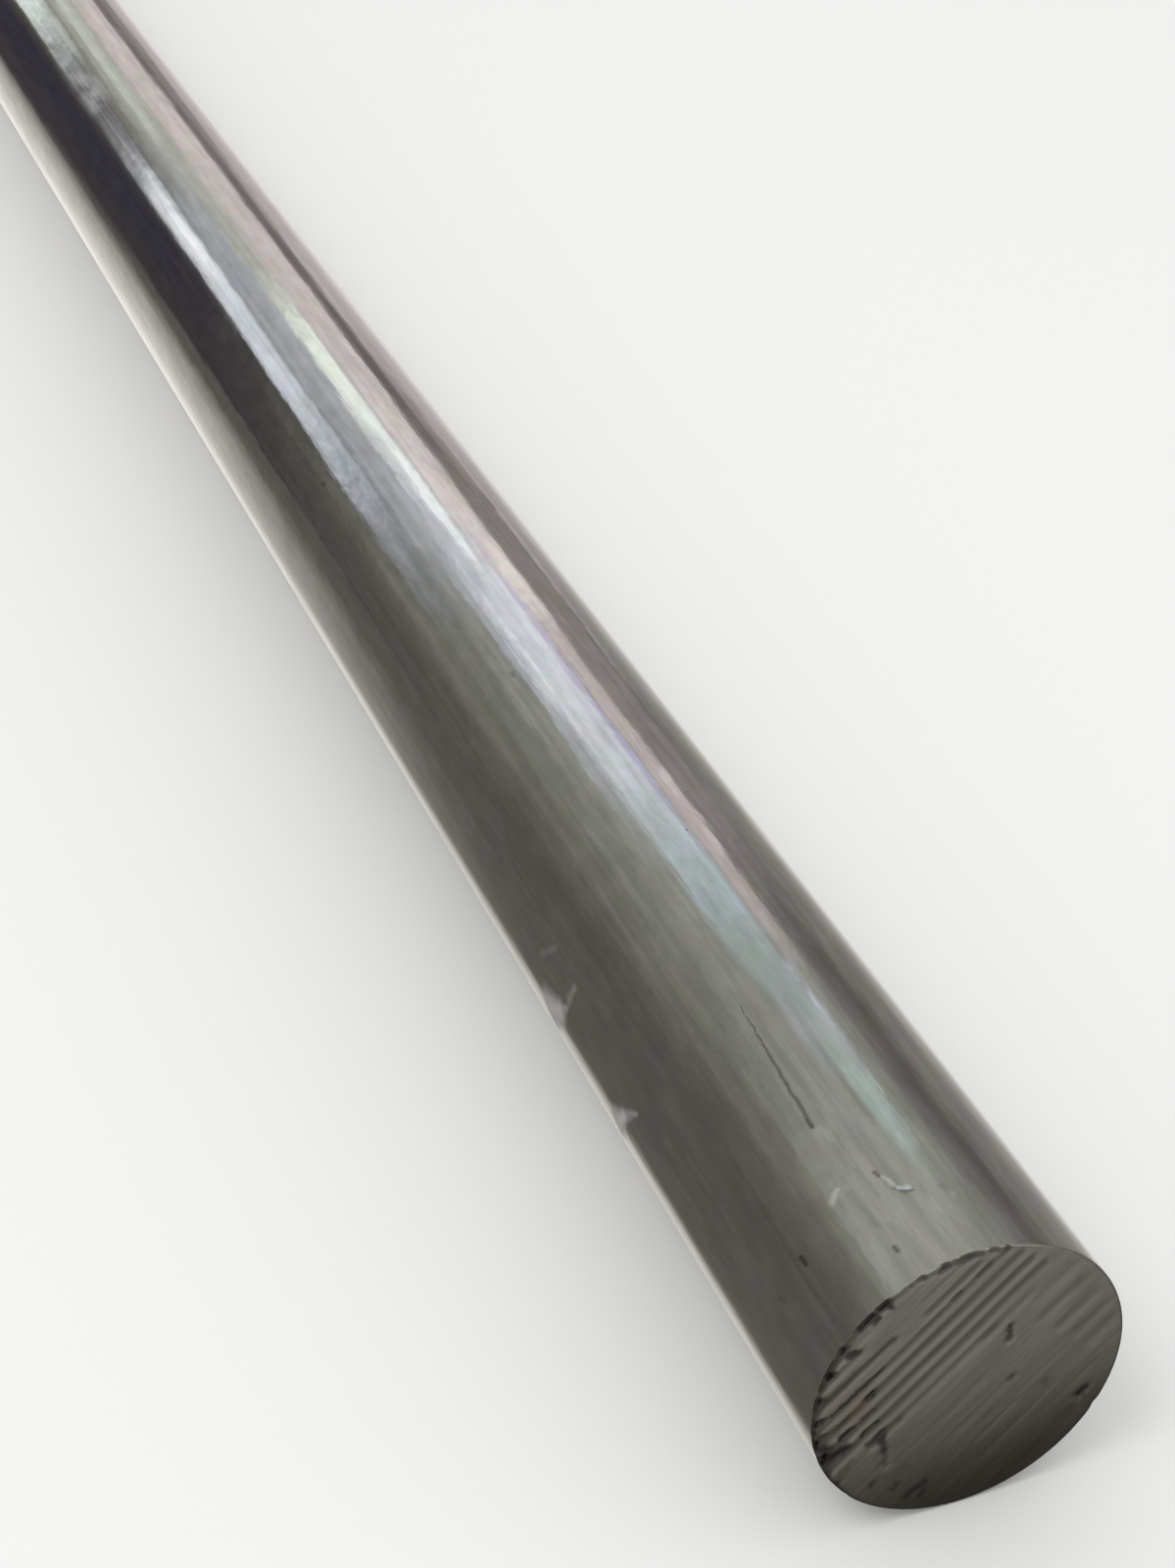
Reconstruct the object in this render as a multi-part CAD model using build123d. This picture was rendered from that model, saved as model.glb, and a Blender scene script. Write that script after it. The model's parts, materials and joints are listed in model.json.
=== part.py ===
from build123d import *
import os

# A round bar of bright drawn steel, sawn to length: one solid piece of stock.
# It lies along +Y on the plane z = 0, and the origin is on that plane under the middle of the bar.

bar_diameter = 20.0  # stock size of the drawn section
bar_length = 500.0  # from sawn face to sawn face
edge_break = 0.2  # radius left where the saw's burr was taken off each rim

bar_radius = bar_diameter / 2
near_face_y = -bar_length / 2


def drawn_section():
    """The round section as it leaves the die, in the plane of the near sawn face, resting on z = 0."""
    with BuildSketch(Plane((0, near_face_y, bar_radius), x_dir=(1, 0, 0), z_dir=(0, 1, 0))) as section:
        Circle(bar_radius)
    return section.sketch


def sawn_rims(bar):
    """The two round edges where the drawn skin meets a sawn face."""
    return bar.edges().filter_by(GeomType.CIRCLE).filter_by_position(Axis.Y, near_face_y, -near_face_y)


def round_bar():
    """The section drawn out to the cut length, with the rim of each sawn end broken by hand."""
    bar = extrude(drawn_section(), amount=bar_length)
    return fillet(sawn_rims(bar), edge_break)


os.makedirs("parts", exist_ok=True)
export_step(round_bar(), "parts/round_bar.step")
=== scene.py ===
import json
import math

import bmesh
import bpy
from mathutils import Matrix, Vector

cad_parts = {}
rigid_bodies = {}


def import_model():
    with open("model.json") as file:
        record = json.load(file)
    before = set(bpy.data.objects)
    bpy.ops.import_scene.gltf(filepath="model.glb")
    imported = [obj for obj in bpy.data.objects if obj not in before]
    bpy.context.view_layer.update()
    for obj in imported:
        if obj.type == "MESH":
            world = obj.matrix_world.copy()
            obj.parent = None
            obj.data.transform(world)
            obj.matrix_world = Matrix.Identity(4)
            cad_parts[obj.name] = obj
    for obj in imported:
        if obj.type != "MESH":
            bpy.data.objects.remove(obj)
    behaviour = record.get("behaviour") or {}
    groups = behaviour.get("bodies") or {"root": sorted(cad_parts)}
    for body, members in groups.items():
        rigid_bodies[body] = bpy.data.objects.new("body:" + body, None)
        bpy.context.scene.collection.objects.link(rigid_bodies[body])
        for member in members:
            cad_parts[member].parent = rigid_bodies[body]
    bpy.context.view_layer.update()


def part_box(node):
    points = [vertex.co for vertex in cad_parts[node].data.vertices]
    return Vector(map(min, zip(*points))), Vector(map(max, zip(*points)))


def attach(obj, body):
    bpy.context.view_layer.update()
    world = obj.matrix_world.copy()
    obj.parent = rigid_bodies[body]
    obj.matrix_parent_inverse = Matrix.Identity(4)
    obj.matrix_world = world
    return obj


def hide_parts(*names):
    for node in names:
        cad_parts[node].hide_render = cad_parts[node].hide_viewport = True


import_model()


# --------------------------------------------------------------------------------------------------------
# The bar: one solid piece of bright steel, drawn cold through a round die and sawn off square at both ends.
# The die leaves fine lines along its skin. The blade scores each sawn face with straight strokes and tears
# chips out of the rim, and handling has left a long scratch and a few nicks near the end.

mm = 0.001
hair = 0.001 * mm
lowest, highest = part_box("round_bar")
radius = (highest.z - lowest.z) / 2
axis_z = (highest.z + lowest.z) / 2
near_y, far_y = lowest.y, highest.y
length = far_y - near_y

flats_round = 384
rim_radius = 0.2 * mm
stroke_pitch = 1.07 * mm
near_stroke_turn = math.radians(43)
far_stroke_turn = math.radians(-24)
near_face = (near_y, near_stroke_turn)
far_face = (far_y, far_stroke_turn)

bpy.ops.object.select_all(action="DESELECT")
bpy.ops.mesh.primitive_cylinder_add(
    vertices=flats_round, radius=radius, depth=length, end_fill_type="NGON",
    location=(0, (near_y + far_y) / 2, axis_z), rotation=(math.radians(90), 0, 0),
)
bar = bpy.context.object
bar.name = "drawn_bar"
bpy.ops.object.transform_apply(location=True, rotation=True, scale=True)
bpy.ops.object.mode_set(mode="EDIT")


def pick(kind, test):
    """Selects the vertices that pass the test, or the edges or faces whose vertices all do."""
    bpy.ops.mesh.select_mode(type=kind)
    bpy.ops.mesh.select_all(action="DESELECT")
    mesh = bmesh.from_edit_mesh(bar.data)
    if kind == "VERT":
        for vertex in mesh.verts:
            vertex.select = test(vertex.co)
    else:
        for element in mesh.edges if kind == "EDGE" else mesh.faces:
            element.select = all(test(vertex.co) for vertex in element.verts)
    mesh.select_flush_mode()
    bmesh.update_edit_mesh(bar.data)


def near(value, wanted, within=hair):
    """Whether a value is the wanted one, to within a hair."""
    return abs(value - wanted) < within


def directions(turn):
    """The directions along and across the strokes of the saw, where they cross a face at this turn."""
    return Vector((math.cos(turn), 0, math.sin(turn))), Vector((-math.sin(turn), 0, math.cos(turn)))


# The rims, with the burr taken off.
for face_y in (near_y, far_y):
    pick("EDGE", lambda place: near(place.y, face_y))
    bpy.ops.mesh.bevel(offset=rim_radius, segments=3, affect="EDGES")


def cut_face(face, strip_width, strip_length):
    """Cuts a sawn face into narrow strips that run with the strokes, and the strips into short lengths."""
    face_y, turn = face
    along, across = directions(turn)
    for direction, step in ((across, strip_width), (along, strip_length)):
        cuts = int(radius / step)
        for cut in range(-cuts, cuts + 1):
            place = Vector((0, face_y, axis_z)) + direction * (cut * step)
            pick("FACE", lambda corner: near(corner.y, face_y, 0.1 * hair))
            bpy.ops.mesh.bisect(plane_co=place, plane_no=direction, threshold=0.01 * mm)


cut_face(near_face, strip_width=0.105 * mm, strip_length=0.24 * mm)
cut_face(far_face, strip_width=0.2 * mm, strip_length=0.8 * mm)


def pick_lengthways(start_y, end_y):
    """Selects the wall's edges that run lengthways from one ring of vertices to another."""
    pick("EDGE", lambda place: near(place.y, start_y) or near(place.y, end_y))
    mesh = bmesh.from_edit_mesh(bar.data)
    for edge in mesh.edges:
        first, last = edge.verts
        if edge.select and near(first.co.y, last.co.y):
            edge.select = False
    mesh.select_flush_mode()
    bmesh.update_edit_mesh(bar.data)


# The wall, cut into rings: close together by the near end, where the rim is torn, and wide apart further on.
for start, end, rings in ((rim_radius, 4 * mm, 18), (4 * mm, length - 1 * mm, 60)):
    pick("FACE", lambda place: place.y > near_y + rim_radius - hair)
    bpy.ops.mesh.bisect(plane_co=(0, near_y + end, 0), plane_no=(0, 1, 0))
    pick_lengthways(near_y + start, near_y + end)
    bpy.ops.mesh.subdivide(number_cuts=rings)


# The steel's two finishes. Both are bare metal, so they differ in roughness, in what the tool left on them,
# in the oil and dust that they hold and in the shade painted on them. Patterns are worked out in
# millimetres from the bar's own place.

def add(tree, kind, inputs=None, **settings):
    """Adds a node to a shader tree. An input given a socket is linked to it, and others keep their value."""
    node = tree.nodes.new("ShaderNode" + kind)
    for name, value in settings.items():
        setattr(node, name, value)
    for name, value in (inputs or {}).items():
        if isinstance(value, bpy.types.NodeSocket):
            tree.links.new(value, node.inputs[name])
        else:
            node.inputs[name].default_value = value
    return node


def work_out(tree, operation, *values):
    """Arithmetic on numbers, done anew at each place."""
    return add(tree, "Math", dict(enumerate(values)), operation=operation).outputs[0]


def work_out_place(tree, operation, *places):
    """The same on places, where a distance, a length and a dot product come out as one number."""
    node = add(tree, "VectorMath", dict(enumerate(places)), operation=operation)
    one_number = operation in ("DISTANCE", "LENGTH", "DOT_PRODUCT")
    return node.outputs["Value" if one_number else "Vector"]


def scaled(tree, place, by):
    """A place or a colour, times a number."""
    return add(tree, "VectorMath", {0: place, 3: by}, operation="SCALE").outputs[0]


def tint(tree, share, first, second):
    """The first colour, turning to the second as the share goes from 0 to 1."""
    return add(tree, "Mix", {0: share, 6: first, 7: second}, data_type="RGBA").outputs[2]


def coat(tree, under, layers):
    """A colour with layers over it in turn. Each has a mask, the share that shows at 1, and its tone."""
    for mask, shows, tone in layers:
        under = tint(tree, work_out(tree, "MULTIPLY", mask, shows), under, (*tone, 1))
    return under


def fade(tree, value, start, end, low=0.0, high=1.0):
    """From low to high as the value goes from start to end, eased at both."""
    inputs = {0: value, 1: start, 2: end, 3: low, 4: high}
    return add(tree, "MapRange", inputs, interpolation_type="SMOOTHSTEP").outputs[0]


def uneven(tree, noise, low, high):
    """From low to high over the range that a noise is mostly in."""
    return fade(tree, noise, 0.3, 0.7, low, high)


def build_up(tree, value, layers):
    """A value with what each layer adds to it. Each has a pattern from 0 to 1, and how much it adds at 1."""
    for pattern, adds in layers:
        value = work_out(tree, "MULTIPLY_ADD", pattern, adds, value)
    return value


def relief(tree, layers):
    """The relief of a finish. Each layer has a pattern from 0 to 1, and its height at 1 in millimetres."""
    height = build_up(tree, 0.0, layers)
    return add(tree, "Bump", {"Height": height, "Strength": 1.0, "Distance": mm}).outputs[0]


def strips(tree, value, low, high, tones):
    """Tones side by side: each is given at a value between low and high, and they run into one another."""
    share = work_out(tree, "DIVIDE", work_out(tree, "SUBTRACT", value, low), high - low)
    ramp = add(tree, "ValToRGB", {0: share})
    stops = ramp.color_ramp.elements
    for at, tone in tones:
        stop = stops.new((at - low) / (high - low))
        stop.color = (*tone, 1)

    # A new ramp comes with a stop at either end, and those two go.
    stops.remove(stops[0])
    stops.remove(stops[len(stops) - 1])
    return ramp.outputs[0]


def shared_effect(name, takes, gives):
    """A node group with its named inputs and outputs, for an effect that both finishes use."""
    group = bpy.data.node_groups.new(name, "ShaderNodeTree")
    for socket, kind in takes:
        group.interface.new_socket(socket, in_out="INPUT", socket_type=kind)
    for socket, kind in gives:
        group.interface.new_socket(socket, in_out="OUTPUT", socket_type=kind)
    return group, group.nodes.new("NodeGroupInput").outputs, group.nodes.new("NodeGroupOutput").inputs


a_number, a_place = "NodeSocketFloat", "NodeSocketVector"

# Lines that a tool leaves along its travel: the place is in millimetres, with the travel along its X.
tool_lines, takes, gives = shared_effect(
    "tool_lines",
    (("Place", a_place), ("Spacing", a_number), ("Run", a_number), ("Seed", a_number)),
    (("Lines", a_number),),
)
across = work_out(tool_lines, "DIVIDE", 1.0, takes["Spacing"])
along = work_out(tool_lines, "DIVIDE", 1.0, takes["Run"])
squeeze = add(tool_lines, "CombineXYZ", {0: along, 1: across, 2: across}).outputs[0]
squeezed = work_out_place(tool_lines, "MULTIPLY", takes["Place"], squeeze)
inputs = {"Vector": squeezed, "W": takes["Seed"], "Scale": 1.0, "Detail": 2.0}
lines = add(tool_lines, "TexNoise", inputs, noise_dimensions="4D").outputs[0]
tool_lines.links.new(lines, gives["Lines"])

# Stains of oil and handling: soft patches, drawn out along the travel.
stains, takes, gives = shared_effect(
    "stains",
    (("Place", a_place), ("Size", a_number), ("Cover", a_number), ("Seed", a_number)),
    (("Mask", a_number),),
)
across = work_out(stains, "DIVIDE", 1.0, takes["Size"])
along = work_out(stains, "DIVIDE", 0.3, takes["Size"])
squeeze = add(stains, "CombineXYZ", {0: along, 1: across, 2: across}).outputs[0]
squeezed = work_out_place(stains, "MULTIPLY", takes["Place"], squeeze)
inputs = {
    "Vector": squeezed, "W": takes["Seed"], "Scale": 1.0,
    "Detail": 5.0, "Roughness": 0.62, "Distortion": 0.4,
}
patch = add(stains, "TexNoise", inputs, noise_dimensions="4D").outputs[0]
edge = work_out(stains, "SUBTRACT", 0.72, work_out(stains, "MULTIPLY", takes["Cover"], 0.44))
stains.links.new(fade(stains, patch, edge, work_out(stains, "ADD", edge, 0.12)), gives["Mask"])

# Specks: small pits and grains of dirt, a share of them in the cells of a loose net.
specks, takes, gives = shared_effect(
    "specks",
    (("Place", a_place), ("Cell", a_number), ("Share", a_number), ("Grain", a_number)),
    (("Mask", a_number),),
)
spread = scaled(specks, takes["Place"], work_out(specks, "DIVIDE", 1.0, takes["Cell"]))
cells = add(specks, "TexVoronoi", {"Vector": spread, "Scale": 1.0})
away = work_out(specks, "MULTIPLY", cells.outputs["Distance"], takes["Cell"])
chance = add(specks, "SeparateColor", {0: cells.outputs["Color"]}).outputs
grain = work_out(specks, "MULTIPLY", takes["Grain"], chance[1])
dot = fade(specks, away, grain, work_out(specks, "MULTIPLY", grain, 0.5))
chosen = work_out(specks, "LESS_THAN", chance[0], takes["Share"])
specks.links.new(work_out(specks, "MULTIPLY", dot, chosen), gives["Mask"])

# A mark: a soft streak in a straight line from one place to another, from 0 off it to 1 on it.
mark, takes, gives = shared_effect(
    "mark",
    (("Place", a_place), ("Start", a_place), ("End", a_place),
     ("Start Width", a_number), ("End Width", a_number), ("Shows", a_number)),
    (("Mask", a_number),),
)
path = work_out_place(mark, "SUBTRACT", takes["End"], takes["Start"])
from_start = work_out_place(mark, "SUBTRACT", takes["Place"], takes["Start"])
covered = work_out_place(mark, "DOT_PRODUCT", from_start, path)
covered = work_out(mark, "DIVIDE", covered, work_out_place(mark, "DOT_PRODUCT", path, path))
covered = work_out(mark, "MINIMUM", work_out(mark, "MAXIMUM", covered, 0.0), 1.0)
off = work_out_place(mark, "DISTANCE", from_start, scaled(mark, path, covered))
widening = work_out(mark, "SUBTRACT", takes["End Width"], takes["Start Width"])
width = work_out(mark, "MULTIPLY_ADD", covered, widening, takes["Start Width"])
on_it = fade(mark, off, work_out(mark, "MULTIPLY", width, 0.5), 0.0)
mark.links.new(work_out(mark, "MULTIPLY", on_it, takes["Shows"]), gives["Mask"])


def lines_of(tree, place, spacing, run, seed):
    inputs = {"Place": place, "Spacing": spacing, "Run": run, "Seed": seed}
    return add(tree, "Group", inputs, node_tree=tool_lines).outputs[0]


def stains_of(tree, place, size, cover, seed):
    inputs = {"Place": place, "Size": size, "Cover": cover, "Seed": seed}
    return add(tree, "Group", inputs, node_tree=stains).outputs[0]


def specks_of(tree, place, cell, share, grain):
    inputs = {"Place": place, "Cell": cell, "Share": share, "Grain": grain}
    return add(tree, "Group", inputs, node_tree=specks).outputs[0]


def marks_of(tree, place, at, marks):
    """Marks laid over one another, where the strongest shows. Each has its two ends, as "at" places them,
    its widths there in millimetres, and the share of it that shows."""
    together = 0.0
    for start, end, start_width, end_width, shows in marks:
        inputs = {
            "Place": place, "Start": at(*start) / mm, "End": at(*end) / mm,
            "Start Width": start_width, "End Width": end_width, "Shows": shows,
        }
        one = add(tree, "Group", inputs, node_tree=mark).outputs[0]
        together = work_out(tree, "MAXIMUM", one, together)
    return together


def strayed(tree, place, amount):
    """The place, led astray a little each way, so that a mark drawn by it has a ragged outline."""
    shake = add(tree, "TexNoise", {"Vector": place, "Scale": 1.4, "Detail": 4.0}).outputs["Color"]
    shake = work_out_place(tree, "SUBTRACT", shake, (0.5, 0.5, 0.5))
    return work_out_place(tree, "MULTIPLY_ADD", shake, (amount, amount, amount), place)


def metal_finish(name):
    """A new metal finish: its tree and shader, the place on the bar, and the depth pressed, both in mm."""
    material = bpy.data.materials.new(name)
    material.use_nodes = True
    tree = material.node_tree
    place = scaled(tree, add(tree, "TexCoord").outputs["Object"], 1 / mm)
    sunk = add(tree, "Attribute", attribute_name="sunk").outputs["Fac"]
    return material, tree, tree.nodes["Principled BSDF"], place, sunk


def on_skin(angle, along):
    """A place on the skin: degrees round the bar from +X over the top, and radii from the near face."""
    turn = math.radians(angle)
    return Vector((math.cos(turn) * radius, near_y + along * radius, axis_z + math.sin(turn) * radius))


# The drawn skin: bright, with fine lines from the die, long shallow waves, and a thin film of oil.
skin, tree, shader, place, sunk = metal_finish("drawn_skin")
drawn = add(tree, "Mapping", {"Vector": place, "Rotation": (0, 0, math.radians(-90))}).outputs[0]
fine_lines = lines_of(tree, drawn, spacing=0.14, run=26.0, seed=1.0)
broad_lines = lines_of(tree, drawn, spacing=0.55, run=18.0, seed=2.0)
ripples = lines_of(tree, drawn, spacing=1.1, run=4.5, seed=3.0)
waves = lines_of(tree, drawn, spacing=4.5, run=26.0, seed=4.0)
clouds = lines_of(tree, drawn, spacing=1.3, run=4.0, seed=7.0)
oil = stains_of(tree, drawn, size=5.0, cover=0.45, seed=5.0)
film = add(tree, "TexNoise", {"Vector": drawn, "Scale": 0.30, "Detail": 4.0, "Distortion": 1.2}).outputs[0]
dirt = specks_of(tree, place, cell=3.4, share=0.25, grain=0.20)
ragged_place = strayed(tree, place, 0.30)

# The long scratch and small pits, and painted shade: along the edge of the crescent where a hard corner
# struck, and in faint dark bands.
scratches_and_painted_shade = marks_of(tree, ragged_place, on_skin, (
    ((110.0, 2.62), (113.2, 1.52), 0.18, 0.52, 0.80), ((113.3, 1.50), (113.5, 1.42), 0.55, 0.62, 0.95),
    ((108.9, 3.40), (110.0, 2.62), 0.30, 0.22, 0.12), ((142.0, 0.71), (141.6, 0.64), 0.60, 0.55, 0.90),
    ((113.7, 0.31), (113.4, 0.27), 0.50, 0.50, 0.75), ((125.4, 2.40), (125.8, 1.60), 0.50, 1.00, 0.16),
    ((132.2, 4.60), (132.9, 3.50), 0.60, 1.10, 0.14), ((108.5, 6.96), (108.4, 6.90), 0.60, 0.60, 0.60),
    ((115.6, 0.82), (114.3, 0.50), 0.80, 0.70, 0.15), ((158.2, 0.68), (156.4, 0.61), 0.70, 0.50, 0.30),
    ((88.2, 0.60), (87.3, 0.57), 0.90, 0.80, 0.28), ((131.4, 10.85), (131.2, 10.80), 0.70, 0.70, 0.50),
    ((104.8, 0.87), (104.6, 0.83), 0.48, 0.48, 0.80), ((102.6, 0.70), (100.2, 0.635), 0.44, 0.66, 0.55),
    ((100.2, 0.635), (97.6, 0.63), 0.66, 0.44, 0.70), ((109.6, 0.95), (108.6, 0.70), 0.70, 0.70, 0.14),
))
# Darker still where the steel is pressed in: painted shade in the hollows.
dark_marks_and_shade = work_out(tree, "MAXIMUM", scratches_and_painted_shade, fade(tree, sunk, 0.03, 0.09))

# A painted highlight at the bottom of the crescent, pale rubs beside it, and dull pale smears at the left,
# painted reflections of light at the edge.
crescent_dent_and_highlight = marks_of(tree, ragged_place, on_skin, (
    ((103.5, 0.81), (102.3, 0.72), 0.44, 0.56, 0.60), ((101.4, 0.69), (98.2, 0.665), 0.50, 0.60, 0.95),
))
rubs = marks_of(tree, ragged_place, on_skin, (
    ((122.4, 0.845), (118.5, 0.90), 1.00, 0.60, 0.70), ((111.4, 1.38), (110.2, 1.24), 0.80, 0.60, 0.22),
    ((112.2, 0.92), (111.0, 0.52), 1.10, 0.90, 0.16), ((86.6, 0.50), (86.0, 0.51), 0.80, 0.70, 0.25),
))
# Pale, dull patches at the left edge: painted reflections of light.
painted_edge_reflections = marks_of(tree, ragged_place, on_skin, (
    ((190.0, 3.06), (180.0, 2.92), 3.6, 1.6, 0.90), ((180.0, 2.92), (171.0, 2.74), 1.6, 0.6, 0.40),
    ((188.0, 4.30), (180.0, 4.10), 5.0, 2.8, 0.85), ((180.0, 4.10), (173.5, 3.98), 2.8, 0.6, 0.50),
    ((170.0, 3.98), (163.0, 3.95), 1.4, 1.0, 0.22), ((169.0, 4.52), (160.0, 4.36), 1.0, 0.8, 0.12),
))

# The steel's own tone, the film of oil with its colours, and what lies on them: dirt, marks, painted shade,
# a painted highlight and painted reflections.
steel = tint(tree, uneven(tree, broad_lines, 0.0, 1.0), (0.50, 0.495, 0.485, 1), (0.60, 0.595, 0.585, 1))
steel = coat(tree, steel, ((oil, 0.30, (0.44, 0.43, 0.40)),))
oil_colours = strips(tree, film, 0, 1, (
    (0.36, (0.58, 0.52, 0.55)), (0.43, (0.56, 0.56, 0.54)), (0.50, (0.48, 0.57, 0.52)),
    (0.56, (0.56, 0.60, 0.58)), (0.62, (0.51, 0.53, 0.62)), (0.68, (0.58, 0.55, 0.56)),
))
steel = tint(tree, 0.28, steel, oil_colours)
steel = scaled(tree, steel, uneven(tree, clouds, 0.93, 1.07))
steel = coat(tree, steel, (
    (dirt, 0.60, (0.16, 0.15, 0.13)), (dark_marks_and_shade, 0.85, (0.08, 0.075, 0.07)), (crescent_dent_and_highlight, 1.0, (0.86, 0.90, 0.98)),
    (rubs, 1.0, (0.95, 0.94, 0.93)), (painted_edge_reflections, 1.0, (0.52, 0.50, 0.48)),
))
tree.links.new(steel, shader.inputs["Base Color"])
dulled = uneven(tree, fine_lines, 0.07, 0.10)
dulled = build_up(tree, dulled, ((oil, 0.05), (dirt, 0.3), (dark_marks_and_shade, 0.25), (painted_edge_reflections, 0.5)))
tree.links.new(dulled, shader.inputs["Roughness"])
tree.links.new(build_up(tree, 1.0, ((painted_edge_reflections, -0.7),)), shader.inputs["Metallic"])

# The relief, where the ripples stand highest by the near end.
along_bar = add(tree, "SeparateXYZ", {0: place}).outputs["Y"]
ripples_stand = fade(tree, along_bar, near_y / mm + 100, near_y / mm + 180, 0.026, 0.010)
skin_relief = relief(tree, (
    (fine_lines, 0.0014), (broad_lines, 0.006), (ripples, ripples_stand), (waves, 0.076), (dirt, -0.01),
    (crescent_dent_and_highlight, -0.012),
))
tree.links.new(skin_relief, shader.inputs["Normal"])


def face_point(face, with_strokes, over_strokes):
    """A point of a sawn face, by its places along and across the strokes, in parts of the bar's radius."""
    face_y, turn = face
    along, across = directions(turn)
    return Vector((0, face_y, axis_z)) + (along * with_strokes + across * over_strokes) * radius


def on_near_face(with_strokes, over_strokes):
    return face_point(near_face, with_strokes, over_strokes)


# The sawn face: raw cut metal, duller and darker, with finer scratches between the blade's strokes, a trace
# of rust where the strokes are torn, specks of dust, and painted shade, black in the deepest tears and
# darker towards the floor.
sawn, tree, shader, place, sunk = metal_finish("sawn_face")
along_bar = add(tree, "SeparateXYZ", {0: place}).outputs["Y"]
stroke_turn = fade(tree, along_bar, -1.0, 1.0, near_stroke_turn, far_stroke_turn)
turned = {"Vector": place, "Angle": stroke_turn}
stroked = add(tree, "VectorRotate", turned, rotation_type="Y_AXIS").outputs[0]
scratches = lines_of(tree, stroked, spacing=0.06, run=2.5, seed=11.0)
bands = lines_of(tree, stroked, spacing=0.30, run=5.0, seed=12.0)
tarnish = stains_of(tree, stroked, size=2.6, cover=0.35, seed=13.0)
dust = specks_of(tree, place, cell=0.9, share=0.30, grain=0.09)
# Painted shade in the hollows that the strokes and chips press in.
shaded_hollows = fade(tree, sunk, 0.03, 0.12)

# Rust by the torn ends of the strokes, and painted shade, near black, along the strokes and in the tears and
# pits.
off_torn = work_out_place(tree, "DISTANCE", place, on_near_face(-0.50, 0.56) / mm)
rust = work_out(tree, "MULTIPLY", fade(tree, off_torn, 2.6, 0.5), fade(tree, bands, 0.44, 0.60))
shade_marks = marks_of(tree, strayed(tree, place, 0.7), on_near_face, (
    ((-0.61, 0.655), (-0.20, 0.625), 0.75, 0.60, 0.75), ((-0.61, 0.765), (-0.05, 0.750), 0.90, 0.80, 0.34),
    ((-0.73, 0.555), (-0.55, 0.530), 0.90, 0.60, 0.50), ((-0.41, 0.530), (-0.38, 0.525), 0.90, 0.85, 0.80),
    ((-0.70, 0.440), (-0.63, 0.435), 1.00, 0.80, 0.85), ((-0.52, 0.435), (-0.46, 0.430), 0.80, 0.70, 0.40),
    ((-0.62, 0.335), (-0.51, 0.330), 0.85, 0.75, 0.75), ((-0.66, 0.240), (-0.55, 0.235), 0.80, 0.80, 0.65),
    ((-0.88, 0.380), (-0.72, 0.355), 1.50, 1.20, 0.85), ((-0.84, 0.480), (-0.78, 0.460), 1.20, 1.00, 0.65),
    ((-0.80, 0.240), (-0.90, 0.230), 0.80, 0.80, 0.30), ((-0.69, 0.660), (-0.64, 0.660), 0.80, 0.80, 0.60),
    ((-0.57, 0.21), (-0.64, 0.09), 0.9, 0.7, 0.6), ((-0.64, 0.09), (-0.72, -0.01), 0.7, 0.5, 0.4),
    ((-0.44, 0.89), (-0.39, 0.89), 1.0, 0.9, 0.50), ((-0.25, 0.89), (-0.22, 0.87), 1.0, 0.9, 0.60),
    ((-0.87, -0.05), (-0.84, -0.05), 0.9, 0.8, 0.5), ((-0.81, -0.20), (-0.78, -0.20), 0.8, 0.8, 0.5),
    ((-0.80, -0.34), (-0.70, -0.38), 1.4, 1.1, 0.6), ((-0.76, -0.42), (-0.68, -0.38), 1.1, 1.0, 0.6),
    ((0.14, -0.23), (0.17, -0.23), 0.7, 0.6, 0.5), ((0.24, -0.47), (0.27, -0.46), 0.9, 0.8, 0.3),
    ((0.29, -0.78), (0.345, -0.785), 1.1, 0.9, 0.90), ((0.30, -0.81), (0.32, -0.80), 1.0, 0.8, 0.7),
    ((0.0, 0.97), (0.03, 0.95), 0.9, 0.5, 0.8), ((0.11, 0.965), (0.12, 0.94), 0.8, 0.5, 0.8),
))
# Near black in the deepest tears: painted shade.
blackest_shade = work_out(tree, "MAXIMUM", fade(tree, sunk, 0.14, 0.26), shade_marks)

# Painted shade along the edge of the rim, darker on the torn side, and painted shade over the lower part of
# the face.
from_axis = work_out_place(tree, "SUBTRACT", place, (0, 0, axis_z / mm))
from_axis = work_out_place(tree, "MULTIPLY", from_axis, (1, 0, 1))
off_axis = work_out_place(tree, "LENGTH", from_axis)
rim_edge_shade = fade(tree, off_axis, radius / mm - 0.25, radius / mm - 0.05)
towards_tears = work_out_place(tree, "DOT_PRODUCT", from_axis, (-0.87, 0, 0.5))
rim_edge_shade = work_out(tree, "MULTIPLY", rim_edge_shade, fade(tree, towards_tears, -1.0, 5.0, 0.2, 0.7))
downward = work_out_place(tree, "DOT_PRODUCT", from_axis, (0.34, 0, -0.94))
lower_face_shade = fade(tree, downward, 3.5, 9.0)

cut = tint(tree, uneven(tree, bands, 0.0, 1.0), (0.41, 0.402, 0.385, 1), (0.50, 0.49, 0.47, 1))
cut = coat(tree, cut, (
    (tarnish, 0.40, (0.24, 0.19, 0.13)), (rust, 0.45, (0.34, 0.24, 0.14)), (dust, 0.60, (0.12, 0.105, 0.09)),
    (shaded_hollows, 0.65, (0.085, 0.078, 0.07)), (blackest_shade, 1.0, (0.028, 0.024, 0.021)),
    (rim_edge_shade, 1.0, (0.13, 0.12, 0.11)), (lower_face_shade, 0.45, (0.15, 0.14, 0.125)),
))
tree.links.new(cut, shader.inputs["Base Color"])
dulled = build_up(tree, uneven(tree, scratches, 0.32, 0.42), ((shaded_hollows, 0.2),))
tree.links.new(dulled, shader.inputs["Roughness"])
sawn_relief = relief(tree, ((scratches, 0.004), (bands, 0.009), (dust, -0.02)))
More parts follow.
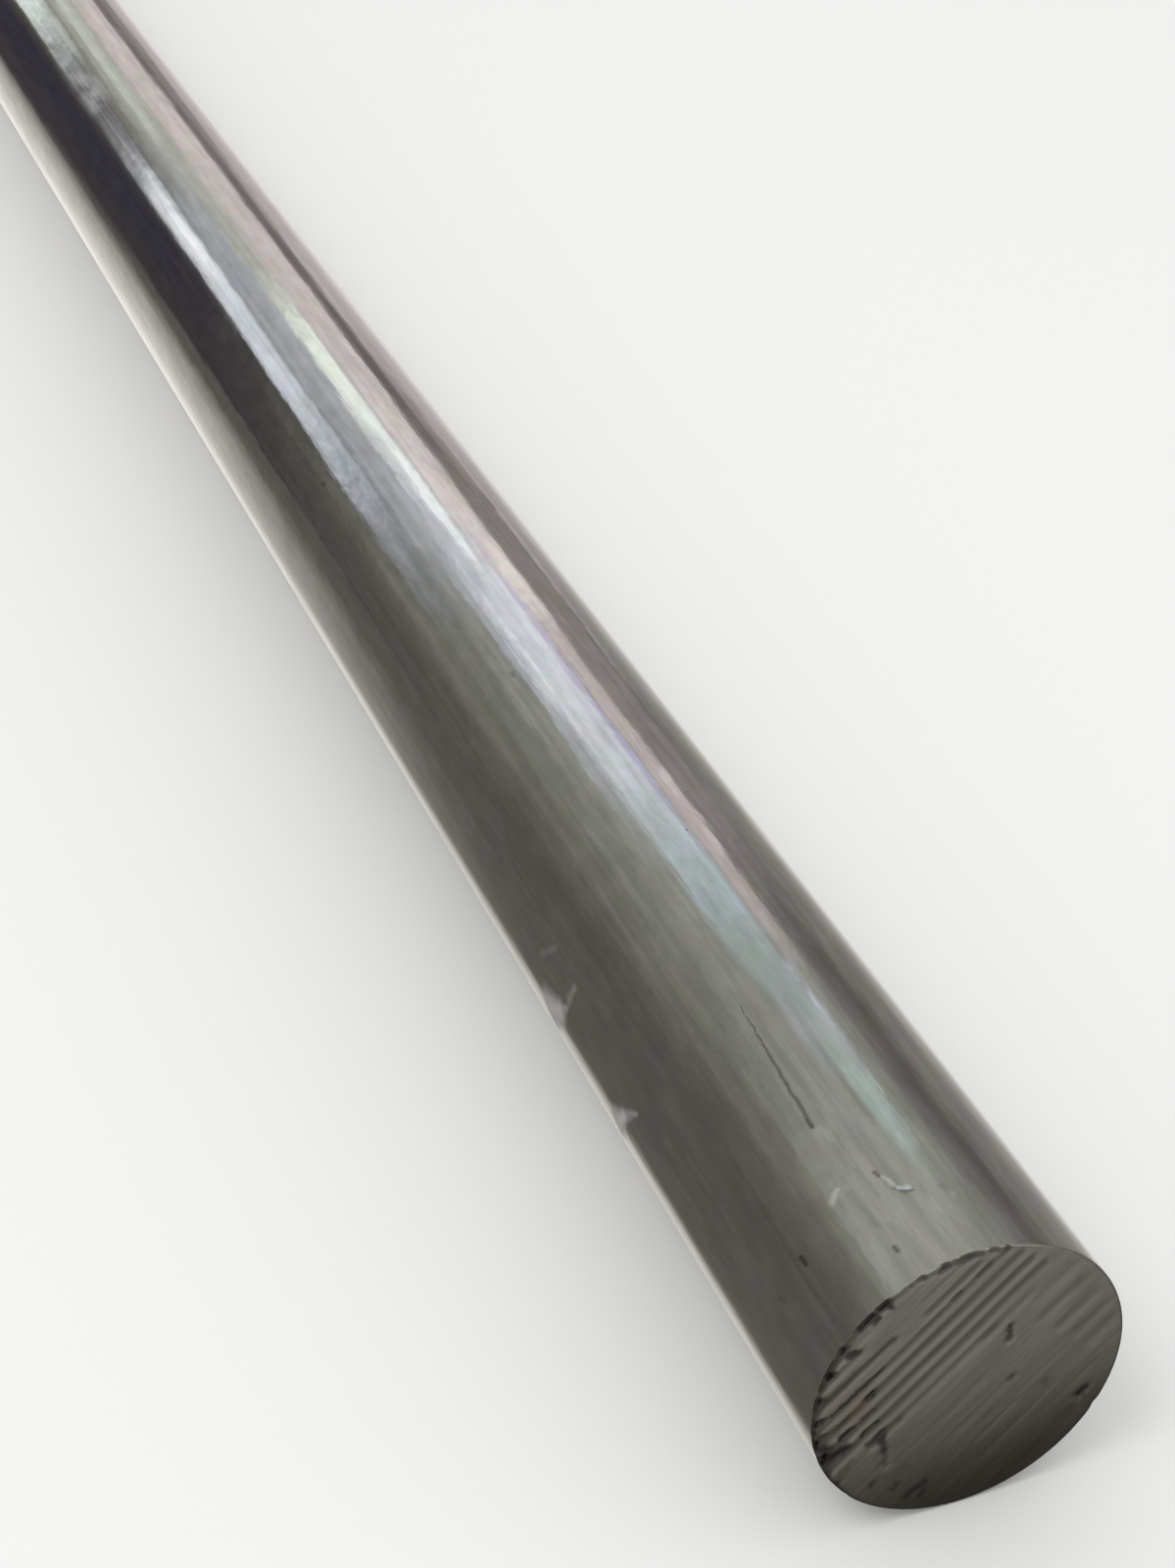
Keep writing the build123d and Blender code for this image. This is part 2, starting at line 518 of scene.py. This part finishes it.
tree.links.new(sawn_relief, shader.inputs["Normal"])
shader.inputs["Metallic"].default_value = 1.0

# The skin's finish goes all over, and the sawn one over both faces and their rims.
bar.data.materials.append(skin)
bar.data.materials.append(sawn)
bar.active_material_index = 1
for face_y in (near_y, far_y):
    pick("FACE", lambda place: near(place.y, face_y, rim_radius + hair))
    bpy.ops.object.material_slot_assign()

# The surface as it is before the marks are pressed into it, to tell later how deep each of them goes.
bar.update_from_editmode()
smooth_places = [vertex.co.copy() for vertex in bar.data.vertices]


def press(test, move, reach, falloff="SMOOTH"):
    """Pushes the picked vertices by a move, and drags what is within reach along, as a blunt tool would."""
    pick("VERT", test)
    bpy.ops.transform.translate(
        value=move, use_proportional_edit=True, proportional_edit_falloff=falloff, proportional_size=reach,
    )


def close_to_line(start, end, width):
    """A test for places within a width of the straight line from start to end."""
    path = end - start

    def test(place):
        share = max(0.0, min(1.0, (place - start).dot(path) / path.length_squared))
        return (place - start - path * share).length < width
    return test


def score(face, over, start, end, depth, reach, slope=0.0):
    """One groove of the saw, from start to end, at a place across the strokes. Depth and reach are in mm."""
    first = face_point(face, start, over)
    last = face_point(face, end, over + slope * (end - start))
    into_metal = math.copysign(depth * mm, -face[0])
    press(close_to_line(first, last, 0.08 * mm), (0, into_metal, 0), reach * mm)


# The deep strokes of the near face, where the blade bit in. Most were cut in more than one pass, and are
# torn deepest where the teeth ran out at the left rim.
for over, passes in (
    (0.770, ((-0.60, -0.30, 0.050),)),
    (0.735, ((-0.66, -0.02, 0.090), (-0.64, -0.25, 0.045), (-0.64, -0.50, 0.04))),
    (0.695, ((0.20, 0.64, 0.080), (0.24, 0.44, 0.040))),
    (0.610, ((-0.82, 0.78, 0.080), (-0.70, -0.12, 0.07), (0.34, 0.44, 0.05), (0.50, 0.70, 0.05))),
    (0.510, ((-0.88, 0.82, 0.085), (-0.82, -0.30, 0.050), (-0.82, -0.62, 0.04))),
    (0.405, ((-0.92, 0.82, 0.085), (-0.86, -0.10, 0.050), (-0.82, -0.58, 0.04))),
    (0.300, ((-0.96, 0.86, 0.080), (-0.88, -0.30, 0.045), (-0.88, -0.60, 0.04))),
    (0.195, ((-0.66, -0.42, 0.080), (-0.42, 0.65, 0.045), (0.26, 0.38, 0.035))),
    (0.855, ((-0.52, -0.18, 0.080),)),
    (0.790, ((0.24, 0.56, 0.050),)),
    (0.930, ((-0.36, -0.06, 0.050),)),
):
    for start, end, depth in passes:
        score(near_face, over, start, end, depth, reach=0.44)

# Below them the cut runs smoother: short faint strokes, a little steeper, and wide ones at the right.
for over, start, end, depth in (
    (-0.07, -0.30, 0.08, 0.014), (-0.24, -0.30, 0.12, 0.018), (-0.42, -0.30, 0.06, 0.016),
    (-0.57, -0.45, 0.30, 0.014), (-0.66, 0.0, 0.5, 0.012),
):
    score(near_face, over, start, end, depth, reach=0.30, slope=0.04)
for over, start, end, depth in (
    (0.12, 0.62, 0.92, 0.040), (-0.04, 0.54, 0.90, 0.050), (-0.20, 0.58, 0.88, 0.052),
    (-0.35, 0.60, 0.84, 0.046), (-0.49, 0.60, 0.80, 0.036),
):
    score(near_face, over, start, end, depth, reach=0.66)

# Pits where the blade tore a grain out of the face: from where to where, the depth, the reach and the width.
for start, end, depth, reach, width in (
    ((0.37, 0.625), (0.42, 0.625), 0.12, 0.30, 0.13), ((0.56, 0.625), (0.66, 0.625), 0.08, 0.30, 0.13),
    ((-0.40, 0.53), (-0.37, 0.53), 0.18, 0.40, 0.16), ((-0.70, 0.435), (-0.64, 0.43), 0.16, 0.40, 0.16),
    ((-0.60, 0.325), (-0.52, 0.32), 0.12, 0.40, 0.13), ((-0.58, 0.225), (-0.54, 0.225), 0.14, 0.40, 0.13),
    ((-0.82, 0.46), (-0.87, 0.40), 0.16, 0.50, 0.20), ((-0.90, 0.36), (-0.78, 0.35), 0.14, 0.50, 0.16),
    ((-0.80, 0.55), (-0.76, 0.56), 0.14, 0.45, 0.16), ((-0.72, 0.655), (-0.68, 0.66), 0.12, 0.40, 0.16),
    ((0.345, 0.03), (0.41, 0.11), 0.16, 0.35, 0.14), ((0.14, -0.23), (0.17, -0.23), 0.06, 0.35, 0.13),
    ((0.30, -0.785), (0.345, -0.785), 0.10, 0.45, 0.22), ((-0.25, 0.90), (-0.22, 0.88), 0.16, 0.40, 0.16),
    ((-0.44, 0.87), (-0.40, 0.87), 0.12, 0.40, 0.13), ((-0.76, -0.37), (-0.68, -0.37), 0.08, 0.50, 0.22),
):
    hole = close_to_line(on_near_face(*start), on_near_face(*end), width * mm)
    press(hole, (0, depth * mm, 0), reach * mm, "SHARP")

# A scar across the end of the lowest deep stroke.
scar = [on_near_face(*bend) for bend in ((-0.58, 0.20), (-0.64, 0.09), (-0.71, 0.0))]
for first, last in zip(scar, scar[1:]):
    press(close_to_line(first, last, 0.16 * mm), (0, 0.07 * mm, 0), 0.40 * mm)


def chip(angle, length_in, depth, reach):
    """A chip in the near rim, where a tooth ran out of the metal and tore the edge back along its stroke."""
    corner = on_skin(angle, 0)
    along, across = directions(near_stroke_turn)
    inward = along if along.dot(corner - Vector((0, near_y, axis_z))) < 0 else -along
    tear = close_to_line(corner - inward * 0.1 * mm, corner + inward * length_in * mm, 0.12 * mm)
    press(tear, (0, depth * mm, 0), reach * mm, "SHARP")


for angle, length_in, depth, reach in (
    (132.8, 0.6, 0.34, 0.40), (126.2, 0.6, 0.34, 0.40), (138.0, 0.2, 0.14, 0.40), (103.3, 0.4, 0.16, 0.5),
    (94.0, 0.4, 0.10, 0.45), (149, 0.3, 0.16, 0.5), (160, 0.4, 0.16, 0.5), (171, 0.4, 0.16, 0.5),
    (181, 0.3, 0.14, 0.5), (190, 0.4, 0.16, 0.5), (201, 0.3, 0.14, 0.6), (331, 0.2, 0.08, 0.6),
):
    chip(angle, length_in, depth, reach)

# The far face: the same saw, an even cut.
for stroke in range(1, int(2 * radius / stroke_pitch)):
    over = 1 - stroke * stroke_pitch / radius
    half_chord = math.sqrt(max(0.0, 1 - over ** 2)) - 0.03
    end = half_chord * (0.8 + 0.2 * math.cos(stroke * 1.7))
    score(far_face, over, -half_chord, end, 0.07 + 0.03 * math.sin(stroke * 2.4), reach=0.44)


def torn_rim_place(place):
    """Whether a place is at the very edge of the near rim, on the side where the blade tore it."""
    out, up = place.x, place.z - axis_z
    angle = math.degrees(math.atan2(up, out)) % 360
    return 80 < angle < 222 and place.y < near_y + 0.3 * mm and math.hypot(out, up) > 0.975 * radius


# Between the chips that side of the rim is ragged all along: cloudy hollows, deepest at the very edge.
pick("VERT", torn_rim_place)
bpy.ops.object.vertex_group_add()
bpy.context.scene.tool_settings.vertex_group_weight = 1.0
bpy.ops.object.vertex_group_assign()
bpy.ops.mesh.select_more()
bpy.ops.mesh.select_more()
bpy.ops.object.vertex_group_smooth(factor=0.5, repeat=3)
bpy.ops.object.mode_set(mode="OBJECT")
torn = bpy.data.textures.new("torn_edge", "CLOUDS")
torn.noise_scale = 0.7 * mm
torn.contrast = 1.8
torn.use_clamp = True
ragged = bar.modifiers.new("ragged", "DISPLACE")
ragged.texture = torn
ragged.direction = "Y"
ragged.vertex_group = bar.vertex_groups[0].name
ragged.strength = 0.20 * mm
ragged.mid_level = 0.0
bpy.ops.object.modifier_apply(modifier="ragged")
bar.vertex_groups.clear()

bpy.ops.object.mode_set(mode="EDIT")
bpy.ops.mesh.select_all(action="SELECT")
bpy.ops.mesh.normals_make_consistent(inside=False)
bpy.ops.object.mode_set(mode="OBJECT")
bpy.ops.object.shade_smooth_by_angle(angle=math.radians(40))

# How far each place was pressed in from the smooth surface, in millimetres: the finishes paint the deep
# places darker, as shade.
sunk_depth = bar.data.attributes.new("sunk", "FLOAT", "POINT")
for vertex, smooth_place, below in zip(bar.data.vertices, smooth_places, sunk_depth.data):
    below.value = (vertex.co - smooth_place).length / mm

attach(bar, "root")
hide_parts("round_bar")


# --------------------------------------------------------------------------------------------------------
# The floor: plain, pale and matt. To mirrored rays alone it glows instead, with painted light and shade:
# darker to the left of the sawn end and in front of it, as a bench in the tent's shade would be, with a
# painted shadow close in front of the end.

bpy.ops.object.select_all(action="DESELECT")
bpy.ops.mesh.primitive_plane_add(size=40, location=(0, 0, 0))
floor = bpy.context.object
floor.name = "floor"
matt = bpy.data.materials.new("pale_floor")
matt.use_nodes = True
tree = matt.node_tree
shader = tree.nodes["Principled BSDF"]
shader.inputs["Base Color"].default_value = (0.87, 0.87, 0.86, 1)
shader.inputs["Roughness"].default_value = 0.9

# Places on the floor are in radii of the bar: sideways from its line, and along from its sawn end.
place = add(tree, "SeparateXYZ", {0: add(tree, "TexCoord").outputs["Object"]})
sideways = work_out(tree, "DIVIDE", place.outputs["X"], radius)
along = work_out(tree, "DIVIDE", work_out(tree, "SUBTRACT", place.outputs["Y"], near_y), radius)
beside_sawn_end = strips(tree, sideways, -12, 12, (
    (-1.25, (0.15, 0.14, 0.125)), (-1.0, (0.66, 0.64, 0.59)), (2.2, (0.75, 0.73, 0.69)),
    (3.4, (0.50, 0.48, 0.45)), (5.0, (0.36, 0.34, 0.32)), (9.0, (0.29, 0.27, 0.255)),
))
further_on = strips(tree, sideways, -12, 12, (
    (-5.0, (0.15, 0.14, 0.125)), (-3.8, (0.30, 0.28, 0.26)), (-2.2, (0.62, 0.59, 0.55)),
    (-1.4, (0.82, 0.79, 0.75)), (-1.0, (1.00, 0.96, 0.91)), (3.4, (0.84, 0.79, 0.77)),
    (5.0, (0.69, 0.63, 0.62)), (9.0, (0.60, 0.545, 0.535)),
))
further = build_up(tree, along, ((work_out(tree, "ABSOLUTE", sideways), -1.3),))
mirrored = tint(tree, fade(tree, further, 3, 18), beside_sawn_end, further_on)
# Far out to the left the mirrored floor turns near black: painted shade.
painted_dark_far_left = work_out(tree, "MULTIPLY", fade(tree, sideways, -4.1, -4.9), fade(tree, further, 18, 30))
mirrored = tint(tree, painted_dark_far_left, mirrored, (0.065, 0.058, 0.068, 1))
# A painted shadow in front of the sawn end, darkest close to it.
painted_shadow_in_front = strips(tree, build_up(tree, along, ((sideways, 0.12),)), -8, 4, (
    (-3.0, (0.34, 0.325, 0.30)), (-1.8, (0.325, 0.31, 0.285)), (-0.9, (0.275, 0.26, 0.235)),
    (-0.35, (0.085, 0.078, 0.066)), (0.3, (0.03, 0.027, 0.024)),
))
mirrored = tint(tree, fade(tree, along, 0.5, 0.1), mirrored, painted_shadow_in_front)
glow = add(tree, "Emission", {"Color": mirrored})
seen_in_steel = add(tree, "LightPath").outputs["Is Glossy Ray"]
either = add(tree, "MixShader", {0: seen_in_steel, 1: shader.outputs[0], 2: glow.outputs[0]})
tree.links.new(either.outputs[0], tree.nodes["Material Output"].inputs["Surface"])
matt.cycles.emission_sampling = "NONE"
floor.data.materials.append(matt)


# --------------------------------------------------------------------------------------------------------
# The light tent: white cloth all round, which the floor sees as plain pale light. Polished steel would
# mirror it as one blank tone, so strips of card hang inside along the bar, with gaps that let it show.

world = bpy.data.worlds.new("light_tent")
bpy.context.scene.world = world
world.use_nodes = True
world.cycles.sampling_method = "NONE"
tree = world.node_tree

# A place in the tent is its angle round the bar, in degrees from +X over the top, and how far it lies
# lengthways for each unit out from the bar.
toward = add(tree, "SeparateXYZ", {0: add(tree, "TexCoord").outputs["Generated"]}).outputs
out_squared = work_out(tree, "POWER", toward["X"], 2.0)
up_squared = work_out(tree, "POWER", toward["Z"], 2.0)
from_bar = work_out(tree, "SQRT", work_out(tree, "ADD", out_squared, up_squared))
lengthways = work_out(tree, "DIVIDE", work_out(tree, "ABSOLUTE", toward["Y"]), from_bar)
from_top = work_out(tree, "ARCTAN2", work_out(tree, "MULTIPLY", toward["X"], -1.0), toward["Z"])
round_bar = work_out(tree, "MULTIPLY_ADD", from_top, math.degrees(1), 90.0)

by_the_end = strips(tree, round_bar, -90, 270, (
    (0, (0.30, 0.28, 0.265)), (6, (0.23, 0.215, 0.20)), (14, (0.165, 0.15, 0.14)), (24, (0.20, 0.18, 0.17)),
    (34, (0.29, 0.275, 0.26)), (45, (0.40, 0.40, 0.36)), (89, (0.43, 0.43, 0.385)),
    (101, (0.39, 0.39, 0.345)), (118, (0.31, 0.31, 0.27)), (132, (0.27, 0.265, 0.225)),
    (143, (0.24, 0.23, 0.20)), (153, (0.19, 0.18, 0.155)), (163, (0.16, 0.15, 0.13)),
    (175, (0.145, 0.135, 0.12)), (205, (0.15, 0.14, 0.125)),
))
down_the_bar = strips(tree, round_bar, -90, 270, (
    (0, (0.72, 0.65, 0.64)), (8, (0.58, 0.52, 0.51)), (13, (0.26, 0.23, 0.22)), (22, (0.22, 0.19, 0.185)),
    (26, (0.35, 0.30, 0.30)), (31, (0.82, 0.73, 0.72)), (56, (0.82, 0.74, 0.72)), (64, (0.62, 0.61, 0.57)),
    (86, (0.58, 0.58, 0.52)), (92, (0.36, 0.37, 0.31)), (104, (0.24, 0.22, 0.19)),
    (128, (0.17, 0.155, 0.14)), (134, (0.11, 0.10, 0.09)), (150, (0.085, 0.077, 0.072)),
    (190, (0.06, 0.052, 0.062)), (206, (0.08, 0.07, 0.075)), (216, (0.32, 0.30, 0.27)),
))
cards = tint(tree, fade(tree, lengthways, 1.40, 2.00), by_the_end, down_the_bar)


def hang(behind, tone, middle, half_width, start, end, slant=0.0, edge=2.0, close=0.06):
    """A strip of cloth or card along the bar: its tone, its middle and half width round the bar, and its
    start and end lengthways. Edge and close are how softly its sides and ends fade into what is behind."""
    off_start = work_out(tree, "SUBTRACT", lengthways, start)
    centre = work_out(tree, "MULTIPLY_ADD", off_start, slant, middle)
    aside = work_out(tree, "ABSOLUTE", work_out(tree, "SUBTRACT", round_bar, centre))
    covers = fade(tree, aside, half_width + edge, half_width - edge)
    covers = work_out(tree, "MULTIPLY", covers, fade(tree, lengthways, start - close, start + close))
    covers = work_out(tree, "MULTIPLY", covers, fade(tree, lengthways, end + close, end - close))
    return tint(tree, covers, behind, (*tone, 1))


# From the sawn end on: the pale card over the end, then the red-brown and white strips of the window side.
cards = hang(cards, (0.52, 0.52, 0.47), 95.0, 34.0, -1.0, 0.90, edge=7.0, close=0.12)
cards = hang(cards, (0.36, 0.32, 0.31), 20.0, 15.0, 1.10, 1.62, edge=4.0, close=0.10)
cards = hang(cards, (0.34, 0.30, 0.29), 4.0, 8.0, 2.20, 9.0, edge=6.0, close=0.25)
cards = hang(cards, (0.78, 0.68, 0.67), 40.5, 7.5, 1.06, 1.40)
cards = hang(cards, (1.15, 1.04, 1.03), 36.5, 3.5, 1.190, 1.220, edge=3.0, close=0.012)
cards = hang(cards, (1.20, 1.08, 1.07), 34.5, 3.0, 1.135, 1.165, edge=3.0, close=0.012)
cards = hang(cards, (0.98, 0.88, 0.87), 44.0, 13.0, 1.38, 1.75, slant=-2.0)
cards = hang(cards, (1.25, 1.12, 1.10), 41.0, 8.0, 1.42, 1.53)
cards = hang(cards, (1.20, 1.10, 1.08), 50.0, 6.0, 1.55, 1.76)
cards = hang(cards, (0.86, 0.77, 0.76), 42.5, 15.0, 1.70, 9.0, close=0.15)
cards = hang(cards, (0.80, 0.83, 0.76), 74.0, 7.0, 2.35, 9.0, close=0.12)

# The window itself.
cards = hang(cards, (0.62, 0.72, 0.67), 59.0, 8.5, 0.882, 0.975, edge=2.5, close=0.008)
cards = hang(cards, (0.54, 0.59, 0.62), 62.0, 14.5, 0.970, 1.022, edge=3.0, close=0.012)
cards = hang(cards, (1.05, 1.02, 1.25), 49.5, 2.5, 0.980, 1.005, close=0.008)
cards = hang(cards, (0.62, 0.70, 0.73), 66.0, 17.0, 1.055, 1.22, close=0.03)
cards = hang(cards, (0.47, 0.55, 0.49), 70.0, 13.0, 1.025, 1.080, edge=4.0, close=0.02)
cards = hang(cards, (0.56, 0.58, 0.62), 92.0, 13.0, 1.52, 2.25)
cards = hang(cards, (0.60, 0.62, 0.66), 86.0, 8.0, 1.22, 1.98)
cards = hang(cards, (1.02, 1.05, 1.14), 68.0, 15.0, 1.21, 1.52, slant=8.0, close=0.07)
cards = hang(cards, (0.88, 0.91, 0.99), 69.0, 11.0, 1.48, 1.78, close=0.07)
cards = hang(cards, (0.80, 0.74, 1.00), 51.5, 2.0, 1.18, 1.50)
cards = hang(cards, (0.38, 0.40, 0.44), 117.0, 14.0, 1.525, 1.74, close=0.02)
cards = hang(cards, (0.70, 0.73, 0.80), 118.0, 12.0, 1.66, 2.32, close=0.03)
cards = hang(cards, (0.98, 1.02, 1.10), 118.0, 11.0, 1.77, 2.31, close=0.04)
cards = hang(cards, (1.50, 1.53, 1.60), 118.0, 7.0, 2.08, 2.27, close=0.02)
cards = hang(cards, (0.15, 0.13, 0.14), 117.0, 13.0, 2.31, 2.70, close=0.02)
cards = hang(cards, (1.15, 1.25, 1.20), 112.0, 17.0, 2.70, 9.0, close=0.02)
cards = hang(cards, (1.32, 1.40, 1.27), 69.0, 9.0, 1.70, 1.96)
cards = hang(cards, (1.40, 1.45, 1.45), 63.5, 5.0, 1.56, 1.71)
cards = hang(cards, (1.80, 1.86, 1.90), 64.0, 4.0, 1.515, 1.565, close=0.012)
cards = hang(cards, (1.55, 1.58, 1.64), 79.0, 3.0, 1.382, 1.408, close=0.010)
cards = hang(cards, (1.20, 1.24, 1.28), 75.0, 6.0, 1.290, 1.335, close=0.012)
cards = hang(cards, (1.15, 1.15, 1.11), 48.0, 18.0, -1.0, 0.42, edge=4.0, close=0.08)

# Black cloth on the other side, further down.
cards = hang(cards, (0.056, 0.050, 0.068), 150.0, 19.0, 1.95, 9.0, slant=8.0, edge=8.0, close=0.18)

# The cloth is creased along the bar and crumpled across it, so no strip is of one even tone.
for round_scale, lengthways_scale, detail, spread in ((0.45, 1.0, 2.0, 0.10), (0.08, 24.0, 1.0, 0.15)):
    round_cloth = work_out(tree, "MULTIPLY", round_bar, round_scale)
    along_cloth = work_out(tree, "MULTIPLY", lengthways, lengthways_scale)
    place = add(tree, "CombineXYZ", {0: round_cloth, 1: along_cloth}).outputs[0]
    folds = add(tree, "TexNoise", {"Vector": place, "Scale": 1.0, "Detail": detail}).outputs[0]
    cards = scaled(tree, cards, uneven(tree, folds, 1 - spread, 1 + spread))

# Past the sawn end the tent's open side lets plain light in.
open_side = work_out(tree, "MULTIPLY", fade(tree, toward["Y"], 0.1, -0.3), 0.5)
cards = tint(tree, open_side, cards, (0.52, 0.51, 0.49, 1))

white_cloth = tree.nodes["Background"]
white_cloth.inputs["Color"].default_value = (0.92, 0.92, 0.92, 1)
hung_cards = add(tree, "Background", {"Color": cards})
seen_in_steel = add(tree, "LightPath").outputs["Is Glossy Ray"]
either = add(tree, "MixShader", {0: seen_in_steel, 1: white_cloth.outputs[0], 2: hung_cards.outputs[0]})
tree.links.new(either.outputs[0], tree.nodes["World Output"].inputs["Surface"])

# One soft lamp above the left shoulder gives the bar its shadow on the floor.
lamp_data = bpy.data.lights.new("soft_lamp", "AREA")
lamp_data.shape = "DISK"
lamp_data.size = 0.5
lamp_data.energy = 2.0
lamp = bpy.data.objects.new("soft_lamp", lamp_data)
bpy.context.scene.collection.objects.link(lamp)
lamp.location = (-0.5, near_y - 0.1, 0.9)
lamp.rotation_euler = (Vector((0, near_y + 0.1, 0)) - lamp.location).to_track_quat("-Z", "Y").to_euler()
lamp.visible_glossy = False


# --------------------------------------------------------------------------------------------------------
# The camera: close above the sawn end, looking down along the bar.

eye_from_sawn_end = Vector((-6.172, -9.893, 11.653)) * radius
camera_data = bpy.data.cameras.new("camera")
camera_data.lens = 63.4
camera_data.clip_start = 5 * mm
camera = bpy.data.objects.new("camera", camera_data)
bpy.context.scene.collection.objects.link(camera)
camera.location = Vector((0, near_y, axis_z)) + eye_from_sawn_end
camera.rotation_euler = (math.radians(90 - 33.29), 0, math.radians(-20.99))
bpy.context.scene.camera = camera
bpy.context.scene.view_settings.view_transform = "Standard"
